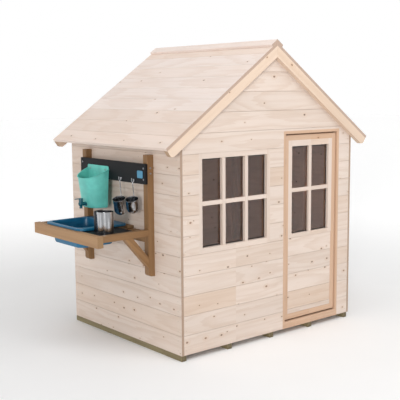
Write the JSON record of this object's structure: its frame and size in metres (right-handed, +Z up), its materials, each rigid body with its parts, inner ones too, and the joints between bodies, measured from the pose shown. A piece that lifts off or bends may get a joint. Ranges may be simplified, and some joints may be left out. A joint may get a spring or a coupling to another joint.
{
  "type": "wooden playhouse",
  "caption": "Gabled timber playhouse with a glazed door and window in the front, and a wall-hung play kitchen with water tank, tap, basin and utensils on one side.",
  "frame": {"origin": "bottom centre of the whole object's bounding box, on the ground under the bearers", "axes": "+Z up, the glazed front faces -Y, the play kitchen hangs on the -X side"},
  "size_m": [1.624, 1.007, 1.523],
  "materials": {
    "wall_pine": "smooth planed softwood, untreated",
    "roof_pine": "smooth planed softwood, untreated",
    "frame_pine": "smooth planed softwood strip",
    "tan_pine": "planed softwood, warmer tone",
    "bearer_timber": "pressure-treated sawn timber",
    "post_timber": "pressure-treated planed timber",
    "rail_timber": "pressure-treated planed timber",
    "dark_board": "painted near black, satin",
    "clear_sheet": "clear acrylic sheet",
    "hinge_steel": "small pressed butt hinges",
    "screw_steel": "pan-head screws",
    "utensil_steel": "polished stainless steel",
    "badge_blue": "plain tile",
    "tank_plastic": "satin moulded plastic",
    "tap_plastic": "glossy moulded plastic",
    "basin_plastic": "satin moulded plastic",
    "navy_plastic": "dark glossy enamel look"
  },
  "bodies": {
    "house": {"floor_bearers": "bearer_timber", "floor_boards": "frame_pine", "front_wall_boards": "wall_pine", "front_lintel_board": "wall_pine", "front_gable_boards": "wall_pine", "back_wall_boards": "wall_pine", "back_gable_boards": "wall_pine", "left_wall_boards": "wall_pine", "right_wall_boards": "wall_pine", "wall_plates": "frame_pine", "corner_battens": "frame_pine", "wall_battens": "frame_pine", "rafters": "frame_pine", "roof_boards_left": "roof_pine", "roof_boards_right": "roof_pine", "ridge_strips": "roof_pine", "verge_battens_front": "tan_pine", "verge_battens_back": "tan_pine", "door_sill": "tan_pine", "door_jambs": "frame_pine", "door_head": "frame_pine", "door_stops": "frame_pine", "hinge_fixed_halves": "hinge_steel", "hinge_pins": "hinge_steel", "window_frame": "frame_pine", "window_bars": "frame_pine", "window_sheet": "clear_sheet", "window_beads": "frame_pine", "kitchen_post_front": "post_timber", "kitchen_post_back": "post_timber", "kitchen_front_rail": "rail_timber", "kitchen_side_rails": "rail_timber", "kitchen_back_rail": "post_timber", "kitchen_cross_rail": "post_timber", "kitchen_braces": "post_timber", "kitchen_work_board": "dark_board", "kitchen_board_cleats": "post_timber", "kitchen_back_board": "dark_board", "kitchen_badge": "badge_blue", "kitchen_screws": "screw_steel", "tank_screws": "screw_steel", "kitchen_hooks": "utensil_steel", "water_tank": "tank_plastic", "tap_body": "tap_plastic", "tap_nut": "tap_plastic"},
    "door": {"door_rails": "tan_pine", "door_boards": "wall_pine", "door_window_frame": "frame_pine", "door_bars": "frame_pine", "door_sheet": "clear_sheet", "door_beads": "frame_pine", "hinge_moving_halves": "hinge_steel"},
    "tap_lever": {"tap_lever": "tap_plastic"},
    "ladle_left": {"ladle_left_bowl": "utensil_steel", "ladle_left_handle": "utensil_steel"},
    "ladle_right": {"ladle_right_bowl": "utensil_steel", "ladle_right_handle": "utensil_steel"},
    "basin": {"basin": "basin_plastic"},
    "beaker": {"beaker": "utensil_steel"},
    "jug": {"jug": "navy_plastic"}
  },
  "joints": [
    {"name": "door_hinge", "type": "hinge", "parent": "house", "child": "door", "pos_m": [0.2066, -0.47, 0.556], "axis": [0, 0, -1], "range_deg": [0, 110]},
    {"name": "tap_turn", "type": "hinge", "parent": "house", "child": "tap_lever", "pos_m": [-0.644, 0.1405, 0.7313], "axis": [0, 0, 1], "range_deg": [0, 90]},
    {"name": "ladle_left_swing", "type": "hinge", "parent": "house", "child": "ladle_left", "pos_m": [-0.5425, -0.0645, 0.848], "axis": [1, 0, 0], "range_deg": [-8, 8]},
    {"name": "ladle_right_swing", "type": "hinge", "parent": "house", "child": "ladle_right", "pos_m": [-0.5425, -0.1745, 0.848], "axis": [1, 0, 0], "range_deg": [-8, 8]},
    {"name": "basin_lift", "type": "slide", "parent": "house", "child": "basin", "axis": [0, 0, 1], "range_m": [0, 0.035]},
    {"name": "beaker_lift", "type": "slide", "parent": "house", "child": "beaker", "axis": [0, 0, 1], "range_m": [0, 0.1]},
    {"name": "jug_lift", "type": "slide", "parent": "house", "child": "jug", "axis": [0, 0, 1], "range_m": [0, 0.1]}
  ]
}
